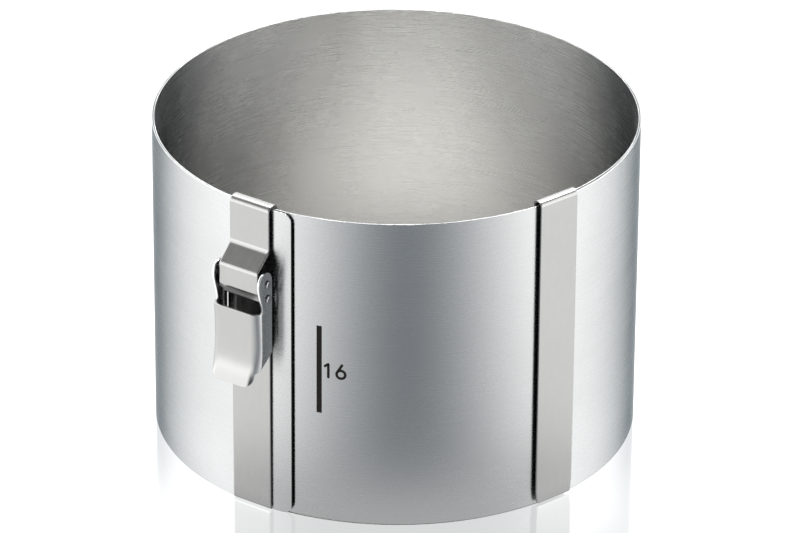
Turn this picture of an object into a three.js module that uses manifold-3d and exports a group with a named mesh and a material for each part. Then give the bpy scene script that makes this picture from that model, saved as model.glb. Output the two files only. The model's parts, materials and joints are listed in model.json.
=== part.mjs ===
// An adjustable cake ring: one long springy steel strip wound almost twice round, a guide clip that keeps its
// inner end against the wall, and a lever latch near its outer end that clamps both turns at the set size.
// Millimetres, +Z up. The ring stands on z = 0 with its front towards -Y.
import * as THREE from 'three';
import { mergeVertices } from 'three/addons/utils/BufferGeometryUtils.js';
import Module from 'manifold-3d';

// Strip: angles run from the front, positive towards +X, and the strip winds the other way from its outer end
const ringDiameter = 162; // over the outer end, at the smallest setting
const stripHeight = 110;
const stripThickness = 0.5;
const turnGap = 0.5; // air between one turn and the next
const stripWrap = 660.7; // degrees from the outer end to the inner end
const outerEndAngle = -24.3;
const endCornerRadius = 3.8; // the strip's corners at its two ends
const sectionCount = 28; // short stiff sections that stand for the springy strip
const seamGap = 0.3; // between one section and the next
const arcStep = 4; // degrees of arc in one flat of a section

// Sheet that the guide clip and the latch are bent from
const clipThickness = 0.6;
const rimClearance = 0.3; // between the strip's edges and what hooks over them
const bendStep = 15; // degrees of arc in one flat of a bend

// Guide clip
const guideAngle = 39.8;
const guideStandOff = 0.75; // air between the wall and the outer leg
const guideWidth = 15.3;
const guideWeldGap = 0.1; // between the inner leg and the strip's inner end
const guideBendRadius = 1.6; // middle plane of the two bends over the rim
const guideInnerLegLength = 60; // from the rim down the inside
const toeBend = 10; // degrees that the outer leg's toe turns inwards
const toeRadius = 3;
const toeRise = 0.3; // between the toe and the ground

// Latch: the base from its foot to its knuckle, and the link that hooks over the rim
const latchAngle = -34.9;
const baseWidth = 15;
const baseStandOff = 0.15; // air behind the base's lower leg
const kneeUp = 58; // where the base's leg bends out towards its knuckle
const kneeTurn = 35; // degrees
const kneeRadius = 1.6;
const knuckleStandOff = 2.3; // air behind the leg above the knee
const footBendRadius = 0.8;
const footReach = 0.5; // how far the foot goes under the outer turn
const footRise = 0.1; // between the foot and the ground
const linkStandOff = 0.8; // air between the wall and the link's leg
const hookBendRadius = 1.7; // middle plane of the two bends over the rim
const turnDrift = 0.72; // how far the inner turn strays inwards past the hook while the ring opens
const hookSwing = 0.35; // air behind that, which the hook needs while it lifts off
const hookReturn = 1.5; // straight end of the hook inside the ring
const linkWidth = 15.4;
const linkLegLength = 14.8; // from the rim to the bend where the link leaves the wall
const bumpReach = 6.1; // how far the link bends out over the pivot
const bumpSlope = 49; // degrees from upright
const bumpBendRadius = 2.4;
const lipSlope = 28; // degrees from upright where the link turns in to its pin
const lipBendRadius = 1.6;
const linkWrap = 60; // degrees of curl under the link pin past its lowest slope
const knuckleWrap = 235; // degrees that the base curls over the pivot pin

// Latch pins
const pinRadius = 1;
const pinClearance = 0.3;
const pinHeadRadius = 1.35;
const pinHeadHeight = 0.5;
const pinHeadGap = 0.2;
const pivotDrop = 24.4; // pivot pin below the rim
const linkPinDrop = 5.3; // link pin below the pivot pin
const linkPinInset = 0.2; // link pin nearer the wall than the pivot pin

// Lever: a channel with two cheeks, open towards the wall, whose ears stand flat above the front plate
const cheekGap = 0.8; // air between a cheek and the link
const leverThickness = 0.8;
const leverBackGap = 1.8; // air between the wall and the cheeks
const leverDepth = 8.2;
const leverBendRadius = 3;
const earRise = 0.6; // widest part of the rounded ear above the pivot pin
const earHeight = 4; // from there to its top
const windowDrop = 9.4; // top edge of the front plate below the pivot pin
const cheekDrop = 25.4; // where the cheeks start to taper, below the pivot pin
const cheekTaper = 5.5; // height of the taper
const tipFlare = 28; // degrees that the finger tip turns out
const tipFlareRadius = 8;
const tipLength = 0.7;
const tipCorner = 3.2;

const steel = new THREE.MeshStandardMaterial({ color: 0xc4c6c7, roughness: 0.32, metalness: 1 });
const clipSteel = new THREE.MeshStandardMaterial({ color: 0xb9bab8, roughness: 0.28, metalness: 1 });
const pinSteel = new THREE.MeshStandardMaterial({ color: 0x8f9193, roughness: 0.4, metalness: 1 });

const toRadians = THREE.MathUtils.degToRad;
const turnPitch = stripThickness + turnGap;
const wallStack = 2 * stripThickness + turnGap;

// Radius of the strip's outer face after winding this many degrees from its outer end
const faceRadius = (wrap) => ringDiameter / 2 - (turnPitch * wrap) / 360;

// Radius of the outermost face at an angle round the ring
const wallRadius = (angle) => faceRadius(THREE.MathUtils.euclideanModulo(outerEndAngle - angle, 360));

// How far a wall of this radius curves away across a flat clip
const sagitta = (width, radius) => radius - Math.sqrt(radius ** 2 - (width / 2) ** 2);

const wasm = await Module();
wasm.setup();

// A closed geometry as a solid that can be cut and joined
function solid(geometry) {
  const bare = geometry.clone();
  bare.deleteAttribute('normal');
  bare.deleteAttribute('uv');
  const merged = mergeVertices(bare);
  return new wasm.Manifold(new wasm.Mesh({
    numProp: 3,
    vertProperties: new Float32Array(merged.attributes.position.array),
    triVerts: new Uint32Array(merged.index.array),
  }));
}

function geometryOf(cutSolid) {
  const { vertProperties, triVerts } = cutSolid.getMesh();
  const geometry = new THREE.BufferGeometry();
  geometry.setAttribute('position', new THREE.BufferAttribute(vertProperties, 3));
  geometry.setIndex(new THREE.BufferAttribute(triVerts, 1));
  geometry.computeVertexNormals();
  return geometry;
}

function extrude(shape, depth) {
  return new THREE.ExtrudeGeometry(shape, { depth, bevelEnabled: false, curveSegments: 6 });
}

// In a clip's frame x runs along the wall, -y out from its outer face and z up.
// A side view of (out, up) points, carried across the clip's width
function across(shape, width) {
  const turned = new THREE.Matrix4().makeBasis(
    new THREE.Vector3(0, -1, 0),
    new THREE.Vector3(0, 0, 1),
    new THREE.Vector3(-1, 0, 0),
  );
  return extrude(shape, width).applyMatrix4(turned).translate(width / 2, 0, 0);
}

// A front view of (along, up) points, carried outwards between two distances from the wall
function outwards(shape, from, to) {
  const turned = new THREE.Matrix4().makeBasis(
    new THREE.Vector3(1, 0, 0),
    new THREE.Vector3(0, 0, 1),
    new THREE.Vector3(0, -1, 0),
  );
  return extrude(shape, to - from).applyMatrix4(turned).translate(0, -from, 0);
}

// Side view of a bent sheet: it starts at a point of its middle plane with a heading in degrees,
// then each step is a straight run or a bend, positive to the left, at a middle-plane radius
function bentSheet([startOut, startUp], startHeading, steps, thickness) {
  const left = [];
  const right = [];
  const at = new THREE.Vector2(startOut, startUp);
  let heading = toRadians(startHeading);
  const mark = () => {
    const normal = new THREE.Vector2(-Math.sin(heading), Math.cos(heading));
    left.push(at.clone().addScaledVector(normal, thickness / 2));
    right.unshift(at.clone().addScaledVector(normal, -thickness / 2));
  };
  mark();
  for (const { run = 0, bend = 0, radius = 0 } of steps) {
    at.x += run * Math.cos(heading);
    at.y += run * Math.sin(heading);
    if (run) mark();
    const flats = Math.ceil(Math.abs(bend) / bendStep);
    const flatTurn = toRadians(bend) / Math.max(flats, 1);
    for (let flat = 0; flat < flats; flat += 1) {
      const chord = 2 * radius * Math.sin(Math.abs(flatTurn) / 2);
      at.x += chord * Math.cos(heading + flatTurn / 2);
      at.y += chord * Math.sin(heading + flatTurn / 2);
      heading += flatTurn;
      mark();
    }
  }
  return new THREE.Shape([...left, ...right]);
}

// A point of the strip's plan, by winding in degrees and depth behind its outer face
function planPoint(wrap, depth) {
  const angle = toRadians(outerEndAngle - wrap);
  const radius = faceRadius(wrap) - depth;
  return new THREE.Vector2(radius * Math.sin(angle), -radius * Math.cos(angle));
}

// One section of the strip, upright, between two amounts of winding
function stripSection(fromWrap, toWrap) {
  const flats = Math.ceil((toWrap - fromWrap) / arcStep);
  const wraps = Array.from({ length: flats + 1 }, (_, i) => fromWrap + ((toWrap - fromWrap) * i) / flats);
  const outer = wraps.map((wrap) => planPoint(wrap, 0));
  const inner = wraps.map((wrap) => planPoint(wrap, stripThickness));
  return extrude(new THREE.Shape([...outer, ...inner.reverse()]), stripHeight);
}

// What is cut off a strip's end to round its upper and lower corners; side is +1 where the strip ends to the right
function cornerCutters(angle, radius, side) {
  const spare = 2 * stripThickness;
  const corner = endCornerRadius;
  return [[0, -1], [stripHeight, 1]].map(([level, way]) => {
    const shape = new THREE.Shape();
    const arc = Array.from({ length: 9 }, (_, i) => (i * Math.PI) / 16);
    shape.setFromPoints([
      new THREE.Vector2(-corner * side, level + spare * way),
      ...arc.map((a) => new THREE.Vector2(
        side * corner * (Math.sin(a) - 1),
        level + way * corner * (Math.cos(a) - 1),
      )),
      new THREE.Vector2(spare * side, level - corner * way),
      new THREE.Vector2(spare * side, level + spare * way),
    ]);
    const cutter = outwards(shape, -5 * stripThickness, 4 * stripThickness);
    return solid(cutter.translate(0, -radius, 0).rotateZ(toRadians(angle)));
  });
}

const cakeRing = new THREE.Group();

function addPiece(name, geometry, material, parent = cakeRing) {
  const piece = new THREE.Mesh(geometry, material);
  piece.name = name;
  parent.add(piece);
  return piece;
}

// Clips and latch stand in groups turned to their angle, with the wall's outer face at y = 0
function wallGroup(angle) {
  const turned = new THREE.Group();
  turned.rotation.z = toRadians(angle);
  const seat = new THREE.Group();
  seat.position.y = -wallRadius(angle);
  turned.add(seat);
  cakeRing.add(turned);
  return seat;
}

// Strip, with rounded corners at both ends and a notch for the latch's foot in its lower edge
const sectionWrap = stripWrap / sectionCount;
const seamWrap = THREE.MathUtils.radToDeg(seamGap / (ringDiameter / 2));
const innerEndAngle = outerEndAngle - stripWrap;
for (let index = 0; index < sectionCount; index += 1) {
  const isFirst = index === 0;
  const isLast = index === sectionCount - 1;
  const fromWrap = index * sectionWrap + (isFirst ? 0 : seamWrap / 2);
  const toWrap = (index + 1) * sectionWrap - (isLast ? 0 : seamWrap / 2);
  let section = stripSection(fromWrap, toWrap);
  if (isFirst || isLast) {
    const cutters = isFirst
      ? cornerCutters(outerEndAngle, faceRadius(0), 1)
      : cornerCutters(innerEndAngle, faceRadius(stripWrap), -1);
    if (isFirst) {
      const notch = new THREE.BoxGeometry(
        baseWidth + 2 * rimClearance,
        8 * stripThickness,
        2 * (footRise + clipThickness + rimClearance),
      );
      cutters.push(solid(notch.translate(0, -wallRadius(latchAngle), 0).rotateZ(toRadians(latchAngle))));
    }
    section = geometryOf(cutters.reduce((body, cutter) => body.subtract(cutter), solid(section)));
  }
  addPiece(`strip_section_${String(index + 1).padStart(2, '0')}`, section, steel);
}

// A hook over the rim, two bends with a flat between them: how high the bends' centres stand for their inside
// to clear the turns, whose stack reaches this far in from the wall's outer face
function hookCentre(innerFace, outerFace, stackDepth, bendRadius) {
  const insideRadius = bendRadius - clipThickness / 2;
  const pastInnerBend = Math.max(innerFace + insideRadius + stackDepth, 0);
  const pastOuterBend = Math.max(insideRadius - outerFace, 0);
  const headroom = Math.sqrt(insideRadius ** 2 - Math.max(pastInnerBend, pastOuterBend) ** 2);
  return stripHeight + rimClearance - headroom;
}

function hookSteps(innerFace, outerFace, bendRadius) {
  return [
    { bend: -90, radius: bendRadius },
    { run: outerFace - innerFace + clipThickness - 2 * bendRadius },
    { bend: -90, radius: bendRadius },
  ];
}

// Guide clip: down the inside of the inner turn, over the rim, down the outside to a toe that turns in
const guide = wallGroup(guideAngle);
const guideStack = wallStack + sagitta(guideWidth, wallRadius(guideAngle) - wallStack);
const guideInnerFace = -guideStack - guideWeldGap;
const guideHookCentre = hookCentre(guideInnerFace, guideStandOff, guideStack, guideBendRadius);
const toeDrop = toeRadius * Math.sin(toRadians(toeBend)) + (clipThickness / 2) * Math.cos(toRadians(toeBend));
addPiece('guide_clip', across(bentSheet(
  [guideInnerFace - clipThickness / 2, stripHeight - guideInnerLegLength],
  90,
  [
    { run: guideHookCentre - stripHeight + guideInnerLegLength },
    ...hookSteps(guideInnerFace, guideStandOff, guideBendRadius),
    { run: guideHookCentre - toeRise - toeDrop },
    { bend: -toeBend, radius: toeRadius },
  ],
  clipThickness,
), guideWidth), clipSteel, guide);

// Latch base: a foot under the outer turn, a leg close to the wall, a knee, and a knuckle curled over the pivot pin
const latch = wallGroup(latchAngle);
const baseMiddle = baseStandOff + clipThickness / 2;
const knuckleMiddle = knuckleStandOff + clipThickness / 2;
const curlRadius = pinRadius + pinClearance + clipThickness / 2;
const pivotOut = knuckleMiddle + curlRadius;
const pivotUp = stripHeight - pivotDrop;
const footUp = footRise + clipThickness / 2;
const knee = toRadians(kneeTurn);
const kneeRun = (knuckleMiddle - baseMiddle - 2 * kneeRadius * (1 - Math.cos(knee))) / Math.sin(knee);
const kneeRise = 2 * kneeRadius * Math.sin(knee) + kneeRun * Math.cos(knee);
addPiece('latch_base', across(bentSheet(
  [-footReach, footUp],
  0,
  [
    { run: footReach + baseMiddle - footBendRadius },
    { bend: 90, radius: footBendRadius },
    { run: kneeUp - footUp - footBendRadius },
    { bend: -kneeTurn, radius: kneeRadius },
    { run: kneeRun },
    { bend: kneeTurn, radius: kneeRadius },
    { run: pivotUp - kneeUp - kneeRise },
    { bend: -knuckleWrap, radius: curlRadius },
  ],
  clipThickness,
), baseWidth), clipSteel, latch);

// Latch link: a hook over the rim, a leg, a bump out over the pivot and a curl under the link pin
const linkMiddle = linkStandOff + clipThickness / 2;
const linkPinOut = pivotOut - linkPinInset;
const linkPinUp = pivotUp - linkPinDrop;
const latchStack = wallStack + sagitta(linkWidth, wallRadius(latchAngle) - wallStack) + turnDrift;
const hookInnerFace = -latchStack - hookSwing;
const linkHookCentre = hookCentre(hookInnerFace, linkStandOff, latchStack, hookBendRadius);
const slopeTurn = toRadians(bumpSlope);
const lipTurn = toRadians(lipSlope);
const bendLength = bumpBendRadius * Math.tan(slopeTurn / 2);
const lipBendLength = lipBendRadius * Math.tan(lipTurn / 2);
const slopeRun = bumpReach / Math.sin(slopeTurn);
const bumpOut = linkMiddle + bumpReach;
const lipRun = (bumpOut - linkPinOut - curlRadius * Math.cos(lipTurn)) / Math.sin(lipTurn);
const lipCornerUp = linkPinUp - curlRadius * Math.sin(lipTurn) + lipRun * Math.cos(lipTurn);
const slopeEndUp = stripHeight - linkLegLength - bumpReach / Math.tan(slopeTurn);
addPiece('latch_link', across(bentSheet(
  [hookInnerFace - clipThickness / 2, linkHookCentre - hookReturn],
  90,
  [
    { run: hookReturn },
    ...hookSteps(hookInnerFace, linkStandOff, hookBendRadius),
    { run: linkHookCentre - stripHeight + linkLegLength - bendLength },
    { bend: bumpSlope, radius: bumpBendRadius },
    { run: slopeRun - 2 * bendLength },
    { bend: -bumpSlope, radius: bumpBendRadius },
    { run: slopeEndUp - lipCornerUp - bendLength - lipBendLength },
    { bend: -lipSlope, radius: lipBendRadius },
    { run: lipRun - lipBendLength },
    { bend: -linkWrap, radius: curlRadius },
  ],
  clipThickness,
), linkWidth), clipSteel, latch);

// Lever: a channel cut to the cheeks' side view, flat ears above its front plate, and a finger tip that flares out
const leverFront = leverBackGap + leverDepth;
const leverHalf = linkWidth / 2 + cheekGap + leverThickness;
const windowUp = pivotUp - windowDrop;
const tipTop = pivotUp - cheekDrop - cheekTaper;

function leverChannel() {
  const [edge, bendCentre] = [leverHalf, leverHalf - leverBendRadius];
  const innerRadius = leverBendRadius - leverThickness;
  const centreDepth = -(leverFront - leverBendRadius);
  const shape = new THREE.Shape();
  shape.moveTo(-edge, -leverBackGap);
  shape.absarc(-bendCentre, centreDepth, leverBendRadius, Math.PI, 1.5 * Math.PI, false);
  shape.absarc(bendCentre, centreDepth, leverBendRadius, 1.5 * Math.PI, 2 * Math.PI, false);
  shape.lineTo(edge, -leverBackGap);
  shape.lineTo(edge - leverThickness, -leverBackGap);
  shape.absarc(bendCentre, centreDepth, innerRadius, 0, -0.5 * Math.PI, true);
  shape.absarc(-bendCentre, centreDepth, innerRadius, 1.5 * Math.PI, Math.PI, true);
  shape.lineTo(-edge + leverThickness, -leverBackGap);
  return solid(extrude(shape, windowUp - tipTop).translate(0, 0, tipTop));
}

function cheekSideView() {
  const spare = leverThickness;
  const shape = new THREE.Shape();
  shape.moveTo(leverFront + spare, tipTop);
  shape.lineTo(leverFront + spare, windowUp + spare);
  shape.lineTo(leverBackGap, windowUp + spare);
  shape.lineTo(leverBackGap, pivotUp - cheekDrop);
  shape.lineTo(leverFront - leverThickness, tipTop);
  return solid(across(shape, 2 * (leverHalf + spare)));
}

// Both ears, from the flat of the cheeks: forward from where the bend ends, round over the top and down the back
function leverEars() {
  const earUp = pivotUp + earRise;
  const bendEnd = leverFront - leverBendRadius;
  const shape = new THREE.Shape();
  shape.moveTo(leverBackGap, windowUp - leverThickness);
  shape.lineTo(bendEnd, windowUp - leverThickness);
  shape.lineTo(bendEnd, windowUp);
  shape.bezierCurveTo(bendEnd, (windowUp + earUp) / 2, leverFront, (windowUp + earUp) / 2, leverFront, earUp);
  shape.absellipse(leverBackGap + leverDepth / 2, earUp, leverDepth / 2, earHeight, 0, Math.PI, false, 0);
  const between = new THREE.BoxGeometry(2 * (leverHalf - leverThickness), 4 * leverDepth, 3 * stripHeight);
  return solid(across(shape, 2 * leverHalf)).subtract(solid(between));
}

function leverTip() {
  const plate = across(bentSheet(
    [leverFront - leverThickness / 2, tipTop + leverThickness],
    -90,
    [
      { run: leverThickness },
      { bend: tipFlare, radius: tipFlareRadius },
      { run: tipLength },
    ],
    leverThickness,
  ), 2 * (leverHalf - leverBendRadius));
  const flareDrop = tipFlareRadius * Math.sin(toRadians(tipFlare)) + tipLength * Math.cos(toRadians(tipFlare));
  const half = leverHalf - leverBendRadius;
  const end = tipTop - flareDrop - (leverThickness / 2) * Math.sin(toRadians(tipFlare));
  const outline = new THREE.Shape();
  outline.moveTo(half + leverThickness, tipTop + 2 * leverThickness);
  outline.lineTo(-half - leverThickness, tipTop + 2 * leverThickness);
  outline.lineTo(-half - leverThickness, end + tipCorner);
  outline.lineTo(-half, end + tipCorner);
  outline.absarc(-half + tipCorner, end + tipCorner, tipCorner, Math.PI, 1.5 * Math.PI, false);
  outline.absarc(half - tipCorner, end + tipCorner, tipCorner, 1.5 * Math.PI, 2 * Math.PI, false);
  outline.lineTo(half + leverThickness, end + tipCorner);
  return solid(plate).intersect(solid(outwards(outline, 0, 2 * leverFront + tipFlareRadius)));
}

function pinHole(out, up) {
  const hole = new THREE.CylinderGeometry(pinRadius + pinClearance, pinRadius + pinClearance, 4 * leverHalf, 24);
  return solid(hole.rotateZ(Math.PI / 2).translate(0, -out, up));
}

const lever = leverChannel()
  .intersect(cheekSideView())
  .add(leverEars())
  .add(leverTip())
  .subtract(pinHole(pivotOut, pivotUp))
  .subtract(pinHole(linkPinOut, linkPinUp));
addPiece('lever', geometryOf(lever), clipSteel, latch);

// Pins across the lever, riveted over at both ends outside its cheeks
function addPin(name, out, up) {
  const shaftEnd = leverHalf + pinHeadGap;
  const headEnd = shaftEnd + pinHeadHeight;
  const profile = [
    [0, -headEnd],
    [0.7 * pinHeadRadius, -headEnd],
    [pinHeadRadius, -shaftEnd - 0.4 * pinHeadHeight],
    [pinHeadRadius, -shaftEnd],
    [pinRadius, -shaftEnd],
  ];
  const mirrored = profile.map(([radius, along]) => [radius, -along]).reverse();
  const points = [...profile, ...mirrored].map(([radius, along]) => new THREE.Vector2(radius, along));
  const pin = addPiece(name, new THREE.LatheGeometry(points, 24).rotateZ(Math.PI / 2), pinSteel, latch);
  pin.position.set(0, -out, up);
}

addPin('pivot_pin', pivotOut, pivotUp);
addPin('link_pin', linkPinOut, linkPinUp);

// The origin lies on the ground under the middle of the whole footprint
const footprint = new THREE.Box3().setFromObject(cakeRing);
const middle = footprint.getCenter(new THREE.Vector3());
cakeRing.position.set(-middle.x, -middle.y, 0);

export default cakeRing;
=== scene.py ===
import json

import bpy
import numpy as np
from mathutils import Matrix


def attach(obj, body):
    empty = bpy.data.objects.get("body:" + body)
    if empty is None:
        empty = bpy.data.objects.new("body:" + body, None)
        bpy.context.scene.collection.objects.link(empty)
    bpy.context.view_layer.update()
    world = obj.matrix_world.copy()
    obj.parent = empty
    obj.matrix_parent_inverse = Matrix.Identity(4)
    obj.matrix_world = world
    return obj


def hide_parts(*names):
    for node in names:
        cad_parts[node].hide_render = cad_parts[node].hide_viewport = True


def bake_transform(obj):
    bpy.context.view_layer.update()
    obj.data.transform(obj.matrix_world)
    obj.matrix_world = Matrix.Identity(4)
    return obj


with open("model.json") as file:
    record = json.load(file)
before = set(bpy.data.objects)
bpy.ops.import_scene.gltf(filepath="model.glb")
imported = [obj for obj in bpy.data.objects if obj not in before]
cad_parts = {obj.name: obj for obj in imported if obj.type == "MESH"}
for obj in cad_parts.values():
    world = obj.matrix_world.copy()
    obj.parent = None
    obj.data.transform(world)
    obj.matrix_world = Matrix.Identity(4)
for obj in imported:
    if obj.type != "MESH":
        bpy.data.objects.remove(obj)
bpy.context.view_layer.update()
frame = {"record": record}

# The strip
# One long strip of thin springy stainless steel, rolled to a spiral of almost two turns. Its faces are brushed
# along its length, its edges are rounded over, and the corners at both ends are cut round.
ring_axis = np.mean(frame["record"]["physics"]["openings"][0]["box_m"], axis=0)[:2]
strip_height = 0.110
strip_thickness = 0.00036
end_radius = 0.081  # the outer face at the strip's outer end
turn_pitch = 0.001  # how much one full turn draws in
snug_wraps = np.radians([362, 378, 620, 646])  # between the ends the inner turn springs out against the outer one
snug_rise = 0.00046  # by this much
outer_end_angle = np.radians(-24.3)  # from the front, positive to the right
strip_wrap = np.radians(660.7)
section_count = 28
end_corner = 0.0038
strip_edge = 0.00009  # radius of the rounded edges
strip_step = np.radians(0.35)
sharp_from = np.radians(40)  # faces that meet more sharply keep their edge
foot_notch_wrap = np.radians(10.6)  # where the latch's foot passes under the strip
foot_notch_half = 0.0078
foot_notch_height = 0.0010


def eased(share):
    """A share between 0 and 1 that starts and ends slowly: three times its square less twice its cube."""
    return share * share * (3 - 2 * share)


def quarter_draw(distance, radius):
    """How far a round corner draws an edge in, at this distance from the corner's tip: the radius less the height of
    its quarter circle there."""
    into = np.clip(radius - distance, 0, radius)
    return radius - np.sqrt(radius**2 - into**2)


def on_strip(wrap, depth, up):
    """A point of the strip: wound this far from the outer end, this deep behind its outer face, this high.
    The radius falls by one pitch for each full turn, less what the inner turn springs out, and the strip winds to
    the left seen from outside."""
    angle = outer_end_angle - wrap
    snug = eased(np.interp(wrap, snug_wraps, [0, 1, 1, 0]))
    radius = end_radius - turn_pitch * wrap / (2 * np.pi) + snug_rise * snug - depth
    east = ring_axis[0] + radius * np.sin(angle)
    north = ring_axis[1] - radius * np.cos(angle)
    return np.stack(np.broadcast_arrays(east, north, up), axis=-1)


def sheet_edge_loop(thickness, rounding, rows):
    """The outline of a sheet's cut: offsets from its middle plane, the side of the sheet that each point belongs to
    (0 low, 1 high, or a share between them), and its shift from that side. Both faces are straight, with a guard
    point beside each edge, and the four corners are quarter circles."""
    half, guard = thickness / 2, 2 * rounding
    turn = np.linspace(0, np.pi / 2, 4)
    face_share = np.linspace(0, 1, rows + 1)
    face_shift = np.zeros(rows + 1)
    face_shift[[0, -1]] = rounding + guard, -rounding - guard
    face_offset = np.full(rows + 1, half)
    corner_offset = half - rounding + rounding * np.cos(turn)
    corner_shift = -rounding + rounding * np.sin(turn)
    ones = np.ones(len(turn))
    offset = np.concatenate([face_offset, corner_offset, -corner_offset[::-1]])
    share = np.concatenate([face_share, ones, ones])
    shift = np.concatenate([face_shift, corner_shift, corner_shift[::-1]])
    return (
        np.concatenate([offset, -offset]),
        np.concatenate([share, 1 - share]),
        np.concatenate([shift, -shift]),
    )


def sheet_sides(low, high, thickness, rounding, rows=1, round_ends=True):
    """Cuts through a sheet at many stations: each row of the two arrays, offset from the middle plane and place
    across the sheet, is one closed outline between its low and high side. Round ends are drawn in a little."""
    offset, share, shift = sheet_edge_loop(thickness, rounding, rows)
    across = low[:, None] * (1 - share) + high[:, None] * share + shift
    offset = np.repeat(offset[None, :], len(low), axis=0)
    drawn_in = np.zeros(len(low))
    drawn_in[[0, -1]] = rounding if round_ends else 0
    offset *= 1 - 2 * drawn_in[:, None] / thickness
    middle = (low + high)[:, None] / 2
    across = middle + (across - middle) * (1 - 2 * drawn_in / (high - low))[:, None]
    return offset, across


def closed_skin(name, rings, grain, material):
    """A closed mesh through outlines of the same length: neighbouring outlines are joined by four-cornered faces and
    the first and last are filled. It is turned right side out where the volume that it encloses is negative.
    Each point keeps its place on the sheet, along and across, for the brushing."""
    count, size = rings.shape[:2]
    corner = np.arange(count * size).reshape(count, size)
    near, far = corner[:-1], corner[1:]
    quads = np.stack([near, np.roll(near, -1, axis=1), np.roll(far, -1, axis=1), far], axis=-1).reshape(-1, 4)
    points = rings.reshape(-1, 3)
    about = points - points.mean(axis=0)
    a, b, c, d = (about[quads[:, k]] for k in range(4))
    side_volume = (np.sum(a * np.cross(b, c), axis=1) + np.sum(a * np.cross(c, d), axis=1)).sum()
    caps = [corner[0][::-1], corner[-1]]
    cap_volume = sum(
        np.sum(about[cap[0]] * np.cross(about[cap[1:-1]], about[cap[2:]]).sum(axis=0)) for cap in caps
    )
    if side_volume + cap_volume < 0:
        quads, caps = quads[:, ::-1], [cap[::-1] for cap in caps]
    mesh = bpy.data.meshes.new(name)
    mesh.from_pydata(points, [], [*quads.tolist(), *(cap.tolist() for cap in caps)])
    mesh.shade_smooth()
    mesh.set_sharp_from_angle(angle=sharp_from)
    mesh.attributes.new("grain", "FLOAT_VECTOR", "POINT").data.foreach_set("vector", grain.ravel())
    mesh.materials.append(material)
    piece = bpy.data.objects.new(name, mesh)
    bpy.context.scene.collection.objects.link(piece)
    return piece


class Tone:
    """One socket of a material: arithmetic on it adds Math nodes, and node() adds any other node."""

    def __init__(self, tree, socket=None):
        self.tree = tree
        self.socket = socket

    def node(self, kind, settings, inputs, output=0):
        made = self.tree.nodes.new(kind)
        for name, value in settings.items():
            setattr(made, name, value)
        for name, value in inputs.items():
            self.set(made.inputs[name], value)
        return Tone(self.tree, made.outputs[output])

    def set(self, socket, value):
        if isinstance(value, Tone):
            self.tree.links.new(value.socket, socket)
        else:
            socket.default_value = value

    def math(self, operation, *values):
        return self.node("ShaderNodeMath", {"operation": operation}, dict(enumerate(values)))

    def __add__(self, other):
        return self.math("ADD", self, other)

    def __sub__(self, other):
        return self.math("SUBTRACT", self, other)

    def __rsub__(self, other):
        return self.math("SUBTRACT", other, self)

    def __mul__(self, other):
        return self.math("MULTIPLY", self, other)

    __radd__ = __add__
    __rmul__ = __mul__


def new_material(name):
    """An empty material's Principled shader and a Tone to build on."""
    material = bpy.data.materials.new(name)
    material.use_nodes = True
    return material, material.node_tree.nodes["Principled BSDF"], Tone(material.node_tree)


def soft_step(value, start, end, low, high):
    """A number that goes from low to high while a value goes from start to end, slowly at both."""
    return value.node(
        "ShaderNodeMapRange",
        {"interpolation_type": "SMOOTHSTEP"},
        {0: value, 1: start, 2: end, 3: low, 4: high},
    )


def soft_mix(share, start_colour, end_colour):
    """A colour between two, by share."""
    return share.node("ShaderNodeMix", {"data_type": "RGBA"}, {0: share, 6: start_colour, 7: end_colour}, 2)


line_share = 0.6  # of the change in colour that follows the lines, while the smears make the rest
line_gloss = 0.06  # how much the lines change the roughness
smears_per_metre = 55.0
# Painted shade: the near black that darkens the start of a sheet's grain, in place of the shadow in the gap at the
# strip's outer end.
end_shade_tint = (0.02, 0.02, 0.02, 1)


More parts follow.
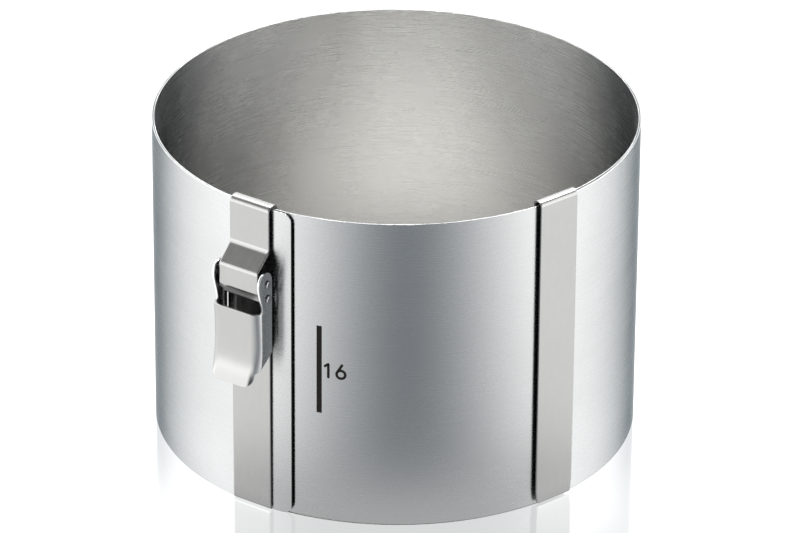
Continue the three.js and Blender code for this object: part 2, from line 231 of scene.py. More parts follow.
def worked_steel(
    name,
    tints,
    edge_tint,
    roughness,
    line_length,
    line_height,
    line_depth,
    smear,
    brushed=0.0,
    end_shade_run=0.0,
    painted_light_sides=(),
):
    """Bare steel sheet. Noise drawn out along the grain gives the fine lines: they tilt the surface and change its
    gloss. A broad soft noise changes the gloss and the colour a little more, as handling does. Level brushing
    spreads the gloss upwards and downwards. Painted shade makes the sheet dark for a short way along the grain from
    its start, in place of the shadow in the gap at the strip's outer end, and painted light makes the sides lighter
    beyond a distance from the middle of the sheet."""
    material, shader, tone = new_material(name)
    place = tone.node("ShaderNodeAttribute", {"attribute_name": "grain"}, {}, "Vector")
    drawn = tone.node(
        "ShaderNodeVectorMath",
        {"operation": "MULTIPLY"},
        {0: place, 1: (1 / line_length, 1 / line_height, 1 / line_height)},
    )
    lines = tone.node(
        "ShaderNodeTexNoise",
        {},
        {"Vector": drawn, "Scale": 1.0, "Detail": 4.0, "Roughness": 0.62},
    )
    smears = tone.node(
        "ShaderNodeTexNoise",
        {},
        {"Vector": place, "Scale": smears_per_metre, "Detail": 3.0, "Roughness": 0.55},
    )
    colour = soft_mix(lines * line_share + smears * (1 - line_share), (*tints[0], 1), (*tints[1], 1))
    # Painted shade for a short way along the grain from its start.
    if end_shade_run:
        along = tone.node("ShaderNodeSeparateXYZ", {}, {"Vector": place}, "X")
        colour = soft_mix(soft_step(along, 0.6 * end_shade_run, end_shade_run, 0.0, 1.0), end_shade_tint, colour)
    # Painted light: lighter beyond a distance from the middle of the sheet.
    if painted_light_sides:
        across = tone.node("ShaderNodeSeparateXYZ", {}, {"Vector": place}, "Z")
        middle, start, end, side_light_tint = painted_light_sides
        from_middle = tone.math("ABSOLUTE", across - middle)
        colour = soft_mix(soft_step(from_middle, start, end, 0.0, 1.0), colour, (*side_light_tint, 1))
    normal = tone.node("ShaderNodeBump", {}, {"Strength": 1.0, "Distance": line_depth, "Height": lines})
    shader.inputs["Metallic"].default_value = 1.0
    shader.inputs["Anisotropic"].default_value = brushed
    shader.inputs["Anisotropic Rotation"].default_value = 0.25  # a quarter turn, for level lines
    shader.inputs["Specular Tint"].default_value = (*edge_tint, 1)
    tone.set(shader.inputs["Base Color"], colour)
    tone.set(shader.inputs["Roughness"], (lines - 0.5) * line_gloss + (smears - 0.5) * smear + roughness)
    tone.set(shader.inputs["Normal"], normal)
    return material


strip_steel = worked_steel(
    "brushed_strip_steel",
    tints=((0.516, 0.521, 0.523), (0.616, 0.621, 0.623)),
    edge_tint=(0.12, 0.145, 0.16),
    roughness=0.27,
    line_length=0.030,
    line_height=0.0003,
    line_depth=0.000006,
    smear=0.05,
    brushed=0.85,
    # Painted shade at the strip's outer end, for half a millimetre along it.
    end_shade_run=0.0005,
)


def strip_piece(name, from_wrap, to_wrap):
    """A length of the strip: a flat outline, 110 mm high, carried round the spiral. Within one corner radius of
    either end its edges draw in on a quarter circle, and the lower edge steps up at the foot's notch."""
    spare = 1e-6  # of the notch's half width, so that its steps are upright
    stations = np.linspace(from_wrap, to_wrap, int(np.ceil((to_wrap - from_wrap) / strip_step)) + 1)
    corner_run = end_corner * (1 - np.cos(np.linspace(0, np.pi / 2, 12))) / end_radius
    notch_turn = foot_notch_half / end_radius
    notch_edges = foot_notch_wrap + notch_turn * np.array([-1 - spare, -1 + spare, 1 - spare, 1 + spare])
    extra = np.concatenate([corner_run, strip_wrap - corner_run, notch_edges])
    extra = extra[(extra > from_wrap) & (extra < to_wrap)]
    wraps = np.unique(np.concatenate([stations, extra]))
    from_end = np.minimum(wraps, strip_wrap - wraps) * end_radius
    drawn_in = quarter_draw(from_end, end_corner)
    low = drawn_in.copy()
    low[np.abs(wraps - foot_notch_wrap) < notch_turn] = foot_notch_height
    offset, up = sheet_sides(low, strip_height - drawn_in, strip_thickness, strip_edge, round_ends=False)
    along = np.repeat(wraps[:, None] * end_radius, up.shape[1], axis=1)
    rings = on_strip(wraps[:, None], strip_thickness / 2 - offset, up)
    return closed_skin(name, rings, np.stack([along, offset, up], axis=-1), strip_steel)


section_wrap = strip_wrap / section_count
middle_wraps = (np.arange(section_count) + 0.5) * section_wrap
middle_points = on_strip(middle_wraps, strip_thickness / 2, strip_height / 2)
section_nodes = [f"strip_section_{number:02d}" for number in range(1, section_count + 1)]
for name, ends, body, node in (
    ("strip_outer_end", (0, middle_wraps[0]), "outer_end", section_nodes[0]),
    ("strip_inner_end", (middle_wraps[-1], strip_wrap), "inner_end", section_nodes[-1]),
):
    strip_end = strip_piece(name, *ends)
    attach(strip_end, body)
    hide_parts(node)
for index in range(section_count - 1):
    bend = strip_piece(f"strip_bend_{index + 1:02d}", *middle_wraps[index : index + 2])
    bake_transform(bend)
    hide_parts(*section_nodes[index : index + 2])

# The size scale
# A bar and plain numerals for the smallest size, in centimetres, etched black into the strip's outer face where the
# outer end points to them. They lie on the bend beside the front section.
ink_width = 0.0009
ink_proud = 0.00002
bar_angles = np.radians([-18.56, -17.28])
bar_heights = (0.0395, 0.07135)
digit_low, digit_high = 0.0526, 0.0583
one_angle = np.radians(-15.7)
one_flag = 0.0015
six_angle = np.radians(-12.7)
six_half = 0.0019
six_tip = 0.0006  # the top of its straight stem, to the right of its middle
ink_tints = (0.008, 0.007, 0.005, 1), (0.028, 0.023, 0.018, 1)

etched_black, ink_shader, ink_tone = new_material("etched_black")
ink_place = ink_tone.node("ShaderNodeTexCoord", {}, {}, "Object")
ink_specks = ink_tone.node("ShaderNodeTexNoise", {}, {"Vector": ink_place, "Scale": 3000.0, "Detail": 2.0})
ink_tone.set(ink_shader.inputs["Base Color"], soft_mix(ink_specks, *ink_tints))
ink_shader.inputs["Specular IOR Level"].default_value = 0.15
ink_tone.set(ink_shader.inputs["Roughness"], ink_specks * 0.2 + 0.45)


def etched_stroke(name, right, up, width, round_ends=True):
    """A flat stroke with round ends along a line of points on the strip's outer face, given as distances to the
    right of the front and upwards. Its width falls to nothing on a half circle at each end, unless it is square."""
    line = np.stack([right, up], axis=1)
    reach = np.concatenate([[0], np.cumsum(np.linalg.norm(np.diff(line, axis=0), axis=1))])
    half, least = width / 2, 0.01 * width
    end_run = half * (1 - np.cos(np.linspace(0, np.pi / 2, 7)))
    inside = np.linspace(half, reach[-1] - half, max(int(reach[-1] / (0.4 * half)), 2))
    stations = np.unique(np.round(np.concatenate([end_run, inside, reach[-1] - end_run]), 8))
    line = np.stack([np.interp(stations, reach, line[:, k]) for k in range(2)], axis=1)
    heading = np.gradient(line, stations, axis=0)
    heading /= np.linalg.norm(heading, axis=1, keepdims=True)
    left = np.stack([-heading[:, 1], heading[:, 0]], axis=1)
    from_end = np.minimum(stations, reach[-1] - stations)
    into = np.clip(half - from_end, 0, half) if round_ends else np.zeros(len(stations))
    wide = np.sqrt(np.clip(half**2 - into**2, least**2, None))
    side = np.array([-1, 1, 1, -1])
    depth = np.array([-1, -1, 1, 1]) * ink_proud
    flat = line[:, None, :] + left[:, None, :] * (wide[:, None] * side)[..., None]
    wraps = np.mod(outer_end_angle - flat[..., 0] / end_radius, 2 * np.pi)
    rings = on_strip(wraps, depth, flat[..., 1])
    stroke = closed_skin(name, rings, np.zeros(rings.shape), etched_black)
    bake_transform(stroke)


bar_width = (bar_angles[1] - bar_angles[0]) * end_radius
bar_right = bar_angles.mean() * end_radius
etched_stroke("scale_bar", np.full(2, bar_right), np.array(bar_heights), bar_width, round_ends=False)
one_right = one_angle * end_radius
etched_stroke(
    "scale_one",
    one_right + np.array([-one_flag, 0, 0]),
    np.array([digit_high - 1.1 * one_flag, digit_high - ink_width / 2, digit_low]),
    ink_width,
)
six_bowl = six_half - ink_width / 2
six_middle = digit_low + six_half
six_rise = digit_high - six_middle
six_slant = np.arctan2(six_rise, six_tip) + np.arccos(six_bowl / np.hypot(six_rise, six_tip))
six_round = six_slant + np.radians(np.linspace(0, 360, 60))
etched_stroke(
    "scale_six",
    six_angle * end_radius + np.append(six_tip, six_bowl * np.cos(six_round)),
    six_middle + np.append(six_rise, six_bowl * np.sin(six_round)),
    ink_width,
)

# The guide clip
# A hairpin of satin stainless sheet, welded inside the strip's inner end. It goes over both rims and down the outside
# to a toe that turns in, and keeps the outer turn against the inner one.
clip_thickness = 0.0006
clip_edge = 0.00016
rim_clearance = 0.0003
wall_stack = 0.0015  # both turns and the air between them
guide_stand_off = 0.00075  # air between the wall and the outer leg
guide_weld_gap = 0.0001
guide_bend = 0.0016
guide_angle = np.radians(39.8)
guide_width = 0.0153
guide_inner_leg = 0.060
guide_corner = 0.0016
toe_bend = 10
toe_radius = 0.0030
toe_rise = 0.0003
run_step = 0.004  # longest step along a straight run
bend_step = 6  # and in degrees round a bend

clip_steel = worked_steel(
    "satin_clip_steel",
    tints=((0.372, 0.371, 0.366), (0.428, 0.427, 0.421)),
    edge_tint=(0.5, 0.5, 0.5),
    roughness=0.19,
    line_length=0.004,
    line_height=0.0008,
    line_depth=0.000004,
    smear=0.06,
)


def wall_radius(angle):
    """Radius of the outermost face at an angle round the ring: the end's radius less its share of the pitch."""
    return end_radius - turn_pitch * np.mod(outer_end_angle - angle, 2 * np.pi) / (2 * np.pi)


def on_wall(angle, out, along, up):
    """A point near the wall at an angle: so far out from its face, so far to the right along it, and so high."""
    radius = wall_radius(angle) + out
    east = ring_axis[0] + radius * np.sin(angle) + along * np.cos(angle)
    north = ring_axis[1] - radius * np.cos(angle) + along * np.sin(angle)
    return np.stack(np.broadcast_arrays(east, north, up), axis=-1)


def sagitta(width, radius):
    """How far a wall of this radius curves away across a flat clip."""
    return radius - np.sqrt(radius**2 - (width / 2) ** 2)


def bent_line(start, heading, steps):
    """The side view of a bent sheet's middle plane. From a start point and a heading in degrees, each step is a
    straight run, or a bend in degrees, positive to the left, at a radius. Gives the points, the normals to the left
    and the distance along, with one more point close to each end where the cut edge is eased."""
    lines, turns = [np.array([start])], [np.array([np.radians(heading)])]
    for run, bend, radius in steps:
        at, now = lines[-1][-1], turns[-1][-1]
        if run:
            pace = np.linspace(0, run, max(int(run / run_step), 1) + 1)[1:]
            lines.append(at + pace[:, None] * np.array([np.cos(now), np.sin(now)]))
            turns.append(np.full(len(pace), now))
        else:
            turn = now + np.radians(bend) * np.linspace(0, 1, int(abs(bend) / bend_step) + 2)[1:]
            way = np.sign(bend)
            centre = at + way * radius * np.array([-np.sin(now), np.cos(now)])
            lines.append(centre + way * radius * np.stack([np.sin(turn), -np.cos(turn)], axis=1))
            turns.append(turn)
    line, turn = np.concatenate(lines), np.concatenate(turns)
    reach = np.concatenate([[0], np.cumsum(np.linalg.norm(np.diff(line, axis=0), axis=1))])
    stations = np.unique(np.concatenate([reach, [clip_edge, reach[-1] - clip_edge]]))
    line = np.stack([np.interp(stations, reach, line[:, k]) for k in range(2)], axis=1)
    turn = np.interp(stations, reach, turn)
    return line, np.stack([-np.sin(turn), np.cos(turn)], axis=1), stations


def hook_height(inner_face, outer_face, stack_depth, bend):
    """Height of a hook's bend centres: its inside clears the edges of the turns by the rim's clearance."""
    inside = bend - clip_thickness / 2
    past_inner = max(inner_face + inside + stack_depth, 0)
    past_outer = max(inside - outer_face, 0)
    return strip_height + rim_clearance - np.sqrt(inside**2 - max(past_inner, past_outer) ** 2)


def hook_steps(inner_face, outer_face, bend):
    """A hook over the rim: a bend, a flat and a bend."""
    flat = outer_face - inner_face + clip_thickness - 2 * bend
    return [(0, -90, bend), (flat, 0, 0), (0, -90, bend)]


def rounded_ends(reach, half, radius):
    """Half the width of a sheet along its length, drawn in on a quarter circle of this radius at both ends."""
    return half - quarter_draw(reach, radius) - quarter_draw(reach[-1] - reach, radius)


def bent_sheet(name, angle, side_view, half):
    """A bent clip: the side view's middle line, given thickness, carried across half a width to either side."""
    line, normal, reach = side_view
    offset, across = sheet_sides(-half, half, clip_thickness, clip_edge)
    flat = line[:, None, :] + offset[..., None] * normal[:, None, :]
    rings = on_wall(angle, flat[..., 0], across, flat[..., 1])
    grain = np.stack(np.broadcast_arrays(reach[:, None], offset, across), axis=-1)
    return closed_skin(name, rings, grain, clip_steel)


guide_stack = wall_stack + sagitta(guide_width, wall_radius(guide_angle) - wall_stack)
guide_inner_face = -guide_stack - guide_weld_gap
guide_hook = hook_height(guide_inner_face, guide_stand_off, guide_stack, guide_bend)
toe_turn = np.radians(toe_bend)
toe_drop = toe_radius * np.sin(toe_turn) + clip_thickness / 2 * np.cos(toe_turn)
guide_side_view = bent_line(
    (guide_inner_face - clip_thickness / 2, strip_height - guide_inner_leg),
    90,
    [
        (guide_hook - strip_height + guide_inner_leg, 0, 0),
        *hook_steps(guide_inner_face, guide_stand_off, guide_bend),
        (guide_hook - toe_rise - toe_drop, 0, 0),
        (0, -toe_bend, toe_radius),
    ],
)
guide_half = rounded_ends(guide_side_view[2], guide_width / 2, guide_corner)
guide_clip = bent_sheet("guide_clip_sheet", guide_angle, guide_side_view, guide_half)
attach(guide_clip, "inner_end")
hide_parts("guide_clip")

# The latch base
# A strap of the same sheet near the strip's outer end. Its foot bends under the lower edge and is welded there, its
# leg lies close to the wall up to a knee, and above that its top end is curled over the pivot pin as a knuckle.
latch_angle = np.radians(-34.9)
base_width = 0.0150
base_stand_off = 0.00015
knuckle_stand_off = 0.0023
knee_up = 0.058
knee_turn = 35
knee_radius = 0.0016
foot_bend = 0.0008
foot_reach = 0.0005
foot_rise = 0.0001
pin_radius = 0.0010
pin_clearance = 0.0003
curl_radius = pin_radius + pin_clearance + clip_thickness / 2
base_middle = base_stand_off + clip_thickness / 2
knuckle_middle = knuckle_stand_off + clip_thickness / 2
pivot_out = knuckle_middle + curl_radius
pivot_up = strip_height - 0.0244
knuckle_wrap = 235
foot_up = foot_rise + clip_thickness / 2
knee = np.radians(knee_turn)
knee_run = (knuckle_middle - base_middle - 2 * knee_radius * (1 - np.cos(knee))) / np.sin(knee)
knee_rise = 2 * knee_radius * np.sin(knee) + knee_run * np.cos(knee)
base_side_view = bent_line(
    (-foot_reach, foot_up),
    0,
    [
        (foot_reach + base_middle - foot_bend, 0, 0),
        (0, 90, foot_bend),
        (knee_up - foot_up - foot_bend, 0, 0),
        (0, -knee_turn, knee_radius),
        (knee_run, 0, 0),
        (0, knee_turn, knee_radius),
        (pivot_up - knee_up - knee_rise, 0, 0),
        (0, -knuckle_wrap, curl_radius),
    ],
)
base_half = rounded_ends(base_side_view[2], base_width / 2, clip_edge)
latch_base = bent_sheet("latch_base_strap", latch_angle, base_side_view, base_half)
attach(latch_base, "outer_end")
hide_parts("latch_base")

# The latch link
# The bent tongue that pulls the rims together: a hook over both rims, a leg, a bump out over the pivot that grows
# narrower on its way, and a curl under the link pin.
link_stand_off = 0.0008
link_bend = 0.0017
link_middle = link_stand_off + clip_thickness / 2
link_pin_out = pivot_out - 0.0002
link_pin_up = pivot_up - 0.0053
turn_drift = 0.00072  # room for the inner turn as the ring opens
hook_swing = 0.00035  # and for the hook as it lifts
hook_return = 0.0015
link_width = 0.0154
link_bump_half = 0.0076
link_lip_half = 0.0071
link_leg = 0.0148
narrow_start = link_leg - 0.0020
bump_reach = 0.0061
bump_slope = 49
hollow_bend = 0.0032
bump_bend = 0.0020
lip_slope = 28
lip_bend = 0.0016
link_wrap = 60
link_stack = wall_stack + sagitta(link_width, wall_radius(latch_angle) - wall_stack) + turn_drift
link_inner_face = -link_stack - hook_swing
link_hook = hook_height(link_inner_face, link_stand_off, link_stack, link_bend)
slope_turn, lip_turn = np.radians(bump_slope), np.radians(lip_slope)
hollow_bend_run = hollow_bend * np.tan(slope_turn / 2)
bump_bend_run = bump_bend * np.tan(slope_turn / 2)
lip_bend_run = lip_bend * np.tan(lip_turn / 2)
lip_run = (link_middle + bump_reach - link_pin_out - curl_radius * np.cos(lip_turn)) / np.sin(lip_turn)
lip_corner_up = link_pin_up - curl_radius * np.sin(lip_turn) + lip_run * np.cos(lip_turn)
slope_end_up = strip_height - link_leg - bump_reach / np.tan(slope_turn)
link_side_view = bent_line(
    (link_inner_face - clip_thickness / 2, link_hook - hook_return),
    90,
    [
        (hook_return, 0, 0),
        *hook_steps(link_inner_face, link_stand_off, link_bend),
        (link_hook - strip_height + link_leg - hollow_bend_run, 0, 0),
        (0, bump_slope, hollow_bend),
        (bump_reach / np.sin(slope_turn) - hollow_bend_run - bump_bend_run, 0, 0),
        (0, -bump_slope, bump_bend),
        (slope_end_up - lip_corner_up - bump_bend_run - lip_bend_run, 0, 0),
        (0, -lip_slope, lip_bend),
        (lip_run - lip_bend_run, 0, 0),
        (0, -link_wrap, curl_radius),
    ],
)
link_below_rim = strip_height - link_side_view[0][:, 1]
link_half = np.interp(
    link_below_rim,
    [0.0, narrow_start, link_leg + bump_reach, strip_height - lip_corner_up, strip_height - link_pin_up],
    [link_width / 2, link_width / 2, link_bump_half, link_bump_half, link_lip_half],
)
latch_link = bent_sheet("latch_link_tongue", latch_angle, link_side_view, link_half)
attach(latch_link, "link")
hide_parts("latch_link")

# The lever
# A channel pressed from one sheet: two cheeks, a front plate that leans out a little, and a finger tip that flares
# out. Above the plate the cheeks stand alone as two flat round ears for the pins. Its front is polished plain; its
# bends, cheeks and ears carry painted light that makes them lighter than the front.
lever_thickness = 0.0008
lever_gap = 0.0008  # air beside the link
lever_half = link_width / 2 + lever_gap + lever_thickness
lever_back = 0.0018
lever_depth = 0.0082
lever_bend = 0.0030
lever_front = lever_back + lever_depth
ear_up = pivot_up + 0.0006
ear_height = 0.0040
ear_front = lever_front - 0.0010
window_up = pivot_up - 0.0094
cheek_low = pivot_up - 0.0254
taper_low = cheek_low - 0.0055
plate_lean = -0.06
plate_bow = 2.0  # more lean for each metre below the plate's top
flare_up = taper_low + 0.0100  # where the plate starts to flare
flare_turn = np.radians(20.9)
flare_radius = 0.0400
tip_run = 0.0046  # the finger tip below the cheeks
tip_corner = 0.0034
lever_rows = 40

side_middle = lever_half - lever_thickness / 2
bend_middle = lever_bend - lever_thickness / 2
plan_line, plan_normal, plan_reach = bent_line(
    (-side_middle, lever_back),
    90,
    [
        (lever_depth - lever_bend, 0, 0),
        (0, -90, bend_middle),
        (2 * (lever_half - lever_bend), 0, 0),
        (0, -90, bend_middle),
        (lever_depth - lever_bend, 0, 0),
    ],
)
cheek_run = lever_depth - lever_bend
bend_run = bend_middle * np.pi / 2
tip_edge = cheek_run + 0.55 * bend_run  # where the finger tip's side edge starts
lever_length = plan_reach[-1]
painted_light_from = lever_length / 2 - cheek_run - bend_run  # distance of the bends from the plate's middle
lever_steel = worked_steel(
    "polished_lever_steel",
    tints=((0.380, 0.378, 0.372), (0.432, 0.430, 0.423)),
    edge_tint=(0.5, 0.5, 0.5),
    roughness=0.21,
    line_length=0.004,
    line_height=0.0008,
    line_depth=0.000003,
    smear=0.06,
    # Painted light: the bends, the cheeks and the ears are made lighter than the front plate.
    painted_light_sides=(lever_length / 2, painted_light_from, painted_light_from + bend_run, (0.80, 0.805, 0.805)),
)

step_spare = 1e-7  # half the run of the upright step where the finger tip starts
corner_turn = np.linspace(0, np.pi / 2, 14)
half_stations = np.concatenate([
    plan_reach,
    np.linspace(0, cheek_run, 24),
    tip_edge + np.array([-step_spare, step_spare]),
    tip_edge + tip_corner * (1 - np.cos(corner_turn)),
])
half_stations = half_stations[half_stations <= lever_length / 2]
lever_stations = np.unique(np.concatenate([half_stations, lever_length - half_stations]))
plan_line = np.stack([np.interp(lever_stations, plan_reach, plan_line[:, k]) for k in range(2)], axis=1)
plan_turn = np.interp(lever_stations, plan_reach, np.arctan2(-plan_normal[:, 0], plan_normal[:, 1]))
plan_normal = np.stack([-np.sin(plan_turn), np.cos(plan_turn)], axis=1)
from_back = np.minimum(lever_stations, lever_length - lever_stations)
depth_share = np.clip((plan_line[:, 1] - lever_back) / (lever_depth - lever_thickness), 0, 1)

tip_end = taper_low - tip_run
lever_top = np.full(len(lever_stations), window_up)
lever_bottom = np.where(
    from_back < tip_edge,
    cheek_low + (taper_low - cheek_low) * depth_share,
    tip_end + quarter_draw(from_back - tip_edge, tip_corner),
)
lever_offset, lever_blank = sheet_sides(lever_bottom, lever_top, lever_thickness, clip_edge, lever_rows)
below = np.clip(flare_up - lever_blank, 0, None)
flare_bend = np.minimum(below / flare_radius, flare_turn)
flare_straight = np.clip(below - flare_radius * flare_turn, 0, None)
flare_out = flare_radius * (1 - np.cos(flare_bend)) + flare_straight * np.sin(flare_turn)
flare_drop = flare_radius * np.sin(flare_bend) + flare_straight * np.cos(flare_turn)
plate_drop = window_up - lever_blank
lean_out = (plate_lean + plate_bow * plate_drop) * plate_drop * depth_share[:, None] ** 2
lever_flat = plan_line[:, None, :] + lever_offset[..., None] * plan_normal[:, None, :]
lever_rings = on_wall(
    latch_angle,
    lever_flat[..., 1] + lean_out + flare_out * depth_share[:, None] ** 2,
    lever_flat[..., 0],
    np.where(below > 0, flare_up - flare_drop, lever_blank),
)
lever_grain = np.stack(np.broadcast_arrays(lever_blank, lever_offset, lever_stations[:, None]), axis=-1)
lever_sheet = closed_skin("lever_channel", lever_rings, lever_grain, lever_steel)


def lever_ear(name, side):
    """One flat ear: a plate between its back and its front edge at each height. The front edge curves forward from
    the end of the plate's bend, and above the widest part both edges follow half an ellipse."""
    turn = np.linspace(0, 0.46 * np.pi, 20)
    ups = np.concatenate([
        [window_up - lever_thickness],
        np.linspace(window_up, ear_up, 16),
        ear_up + ear_height * np.sin(turn[1:]),
    ])
    rise = eased(np.clip((ups - window_up) / (ear_up - window_up), 0, 1))
    half_depth = (ear_front - lever_back) / 2 * np.sqrt(1 - np.clip((ups - ear_up) / ear_height, 0, 1) ** 2)
    middle = (lever_back + ear_front) / 2
    front = middle + half_depth - (lever_bend - lever_front + ear_front) * (1 - rise)
    back = middle - half_depth
    offset, out = sheet_sides(back, front, lever_thickness, clip_edge)
    rings = on_wall(latch_angle, out, side * side_middle + offset, ups[:, None])
    grain = np.stack(np.broadcast_arrays(ups[:, None], offset, -out), axis=-1)
    return closed_skin(name, rings, grain, lever_steel)


for lever_piece in (lever_sheet, lever_ear("left_ear", -1), lever_ear("right_ear", 1)):
    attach(lever_piece, "lever")
    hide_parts("lever")

# The two pins
# Turned steel pins across the lever, riveted over outside both cheeks. The upper one is the pivot in the base's
# knuckle, the lower one carries the link.
pin_head_radius = 0.00135
pin_head_height = 0.0005
pin_head_gap = 0.0002
pin_head_flat = 0.55  # share of the head's radius, and of its height, where its round edge starts

pin_steel = worked_steel(
    "turned_pin_steel",
    tints=((0.48, 0.48, 0.48), (0.60, 0.60, 0.60)),
    edge_tint=(0.6, 0.6, 0.6),
    roughness=0.26,
    line_length=0.0006,
    line_height=0.0006,
    line_depth=0.000003,
    smear=0.08,
)


def riveted_pin(name, out, up):
    """A profile of radius by distance along the pin, turned round its axis: a shaft with a domed head at each end."""
    shaft_end = lever_half + pin_head_gap
    dome = np.linspace(0, np.pi / 2, 7)
    dome_radius = pin_head_flat + (1 - pin_head_flat) * np.sin(dome)
    dome_along = pin_head_flat + (1 - pin_head_flat) * np.cos(dome)
    head_radius = np.concatenate([[0.02, 0.3], dome_radius, [1.0]]) * pin_head_radius
    head_along = np.concatenate([[1.0, 1.0], dome_along, [0.0]]) * pin_head_height
    radius = np.concatenate([head_radius, [pin_radius, pin_radius], head_radius[::-1]])
    along = np.concatenate([-shaft_end - head_along, [-shaft_end, shaft_end], shaft_end + head_along[::-1]])
    turn = np.linspace(0, 2 * np.pi, 40, endpoint=False)
    rings = on_wall(
        latch_angle,
        out + radius[:, None] * np.cos(turn),
        along[:, None],
        up + radius[:, None] * np.sin(turn),
    )
    return closed_skin(name, rings, rings, pin_steel)


for name, node, body, out, up in (
    ("pivot_rivet", "pivot_pin", "outer_end", pivot_out, pivot_up),
    ("link_rivet", "link_pin", "lever", link_pin_out, link_pin_up),
):
    pin = riveted_pin(name, out, up)
    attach(pin, body)
    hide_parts(node)

# The floor and the light
# A white table that glows, as one lit from around does, and mirrors the ring faintly close to it. Painted shade
# darkens its glow in front, out of the picture, a painted band sets its glow close outside the wall, and painted
# light makes it brighter far from the ring. Two soft lamps behind the ring light its rims and the table inside it,
# and a soft bright horizon behind and beside it lights the rest.
floor_half = 8.0
floor_lit = (1.55, 1.555, 1.55, 1)
# Painted shade in the table's glow in front of the ring.
floor_shade = (0.31, 0.335, 0.36, 1)
# Painted band in the table's glow close outside the wall: brighter than the shade in front, darker than the lit table
# at the sides.
floor_near = (1.32, 1.33, 1.34, 1)  # close outside the wall
near_reach = (0.050, 0.020)  # in front and at the sides
floor_matt = (0.90, 0.87, 0.82, 1)  # inside the ring, lit by the lamps and the room alone
# Painted light: the table's glow grows brighter far from the ring.
far_reach = (0.34, 0.60)  # the table grows brighter far from the ring
far_gain = 0.6
shade_middle = np.radians(4)
shade_width = np.radians(65)
mirror_share = 0.50
mirror_reach = 0.060
mirror_roughness = 0.035
mirror_tint = (0.9, 0.9, 0.9, 1)
horizon_light = 2.2
horizon_lean = 0.8  # the bright part reaches higher behind the ring than in front
horizon_roll = 0.06
horizon_edge = (0.58, 0.70)
front_share = 0.2  # of the horizon's light that comes from the camera's side
front_edge = (-0.85, -0.35)
ceiling_light = 0.22
lamps = (("lamp_behind", -14, 15.0), ("lamp_right", 56, 16.0))  # degrees from straight behind, and power
lamp_size = 0.5
lamp_distance = 1.5
lamp_elevation = np.radians(62)

table_white, floor_shader, floor_tone = new_material("table_white")
floor_place = floor_tone.node("ShaderNodeTexCoord", {}, {}, "Object")
floor_east = floor_tone.node("ShaderNodeSeparateXYZ", {}, {"Vector": floor_place}, "X") - ring_axis[0]
floor_north = floor_tone.node("ShaderNodeSeparateXYZ", {}, {"Vector": floor_place}, "Y") - ring_axis[1]
floor_far = floor_tone.math("SQRT", floor_east * floor_east + floor_north * floor_north)
floor_round = floor_tone.math("ARCTAN2", floor_east, 0 - floor_north)
floor_turn = floor_tone.math("ABSOLUTE", floor_round - shade_middle)
floor_outside = soft_mix(soft_step(floor_turn, 0.0, shade_width, 0.0, 1.0), floor_shade, floor_lit)
floor_near_end = soft_step(floor_turn, 0.0, shade_width, *near_reach) + end_radius
floor_outside = soft_mix(soft_step(floor_far, end_radius, floor_near_end, 0.0, 1.0), floor_near, floor_outside)
wall_middle = end_radius - wall_stack / 2
floor_is_outside = floor_tone.math("GREATER_THAN", floor_far, wall_middle)
floor_light = floor_tone.node(
    "ShaderNodeVectorMath",
    {"operation": "SCALE"},
    {0: floor_outside, "Scale": soft_step(floor_far, *far_reach, 1.0, 1.0 + far_gain)},
)
floor_glow = floor_tone.node("ShaderNodeEmission", {}, {"Color": floor_light})
floor_mirror = floor_tone.node("ShaderNodeBsdfGlossy", {}, {"Color": mirror_tint, "Roughness": mirror_roughness})
floor_share = soft_step(floor_far, end_radius, end_radius + mirror_reach, mirror_share, 0.0)
floor_glossy = floor_tone.node("ShaderNodeMixShader", {}, {0: floor_share, 1: floor_glow, 2: floor_mirror})
floor_dull = floor_tone.node("ShaderNodeBsdfDiffuse", {}, {"Color": floor_matt})
floor_whole = floor_tone.node("ShaderNodeMixShader", {}, {0: floor_is_outside, 1: floor_dull, 2: floor_glossy})
floor_tone.set(table_white.node_tree.nodes["Material Output"].inputs["Surface"], floor_whole)
table_white.node_tree.nodes.remove(floor_shader)
floor_mesh = bpy.data.meshes.new("table")
floor_corners = floor_half * np.array([[-1, -1, 0], [1, -1, 0], [1, 1, 0], [-1, 1, 0]])
floor_mesh.from_pydata(floor_corners, [], [[0, 1, 2, 3]])
floor_mesh.materials.append(table_white)
table = bpy.data.objects.new("table", floor_mesh)
bpy.context.scene.collection.objects.link(table)

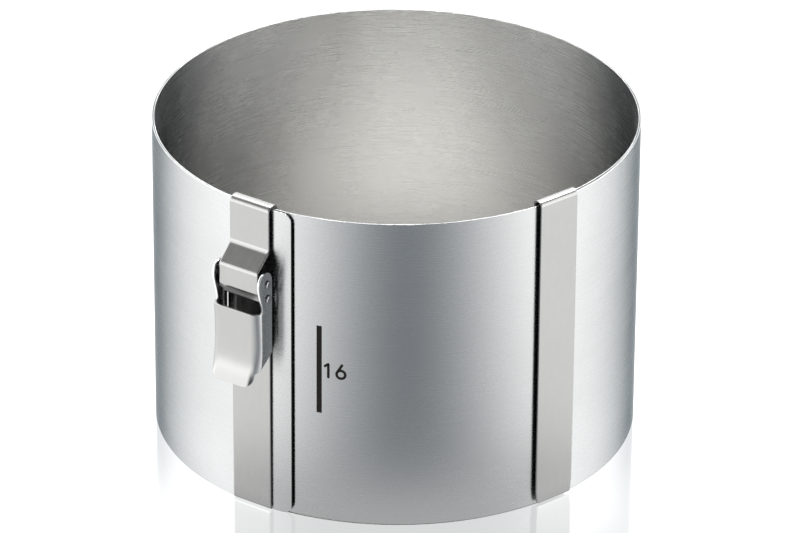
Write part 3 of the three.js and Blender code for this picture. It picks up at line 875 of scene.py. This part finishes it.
room = bpy.data.worlds.new("room")
bpy.context.scene.world = room
room.use_nodes = True
room_tone = Tone(room.node_tree)
room_way = room_tone.node("ShaderNodeTexCoord", {}, {}, "Generated")
room_up = room_tone.node("ShaderNodeSeparateXYZ", {}, {"Vector": room_way}, "Z")
room_north = room_tone.node("ShaderNodeSeparateXYZ", {}, {"Vector": room_way}, "Y")
room_east = room_tone.node("ShaderNodeSeparateXYZ", {}, {"Vector": room_way}, "X")
room_height = room_up - room_north * horizon_lean + room_east * horizon_roll
room_light = soft_step(room_height, *horizon_edge, horizon_light, ceiling_light)
room_front = soft_step(room_north, *front_edge, front_share, 1.0)
room_tone.set(room.node_tree.nodes["Background"].inputs["Color"], room_light * room_front)

for name, lamp_azimuth, lamp_power in lamps:
    lamp_data = bpy.data.lights.new(name, "AREA")
    lamp_data.energy = lamp_power
    lamp_data.size = lamp_size
    lamp = bpy.data.objects.new(name, lamp_data)
    bpy.context.scene.collection.objects.link(lamp)
    lamp.matrix_world = (
        Matrix.Rotation(-np.radians(lamp_azimuth), 4, "Z")
        @ Matrix.Rotation(lamp_elevation - np.pi / 2, 4, "X")
        @ Matrix.Translation((0, 0, lamp_distance))
    )
bpy.context.scene.view_settings.view_transform = "Standard"

# The camera
# A long lens at the photograph's height, aimed at the ring's middle and turned a hair to bring it into the frame.
picture_width = 800
focal_pixels = 5998.16
camera_distance = 2.0
camera_elevation = np.radians(27.673)
camera_yaw, camera_pitch, camera_roll = np.radians([-0.0357, -0.0507, -0.3805])

camera_data = bpy.data.cameras.new("camera")
camera_data.sensor_width = 36.0
camera_data.sensor_fit = "HORIZONTAL"
camera_data.lens = focal_pixels / picture_width * camera_data.sensor_width
camera_data.clip_end = 100.0
camera = bpy.data.objects.new("camera", camera_data)
bpy.context.scene.collection.objects.link(camera)
camera.matrix_world = (
    Matrix.Translation((
        ring_axis[0],
        ring_axis[1] - camera_distance * np.cos(camera_elevation),
        strip_height / 2 + camera_distance * np.sin(camera_elevation),
    ))
    @ Matrix.Rotation(np.pi / 2 - camera_elevation, 4, "X")
    @ Matrix.Rotation(camera_yaw, 4, "Y")
    @ Matrix.Rotation(camera_pitch, 4, "X")
    @ Matrix.Rotation(-camera_roll, 4, "Z")
)
bpy.context.scene.camera = camera
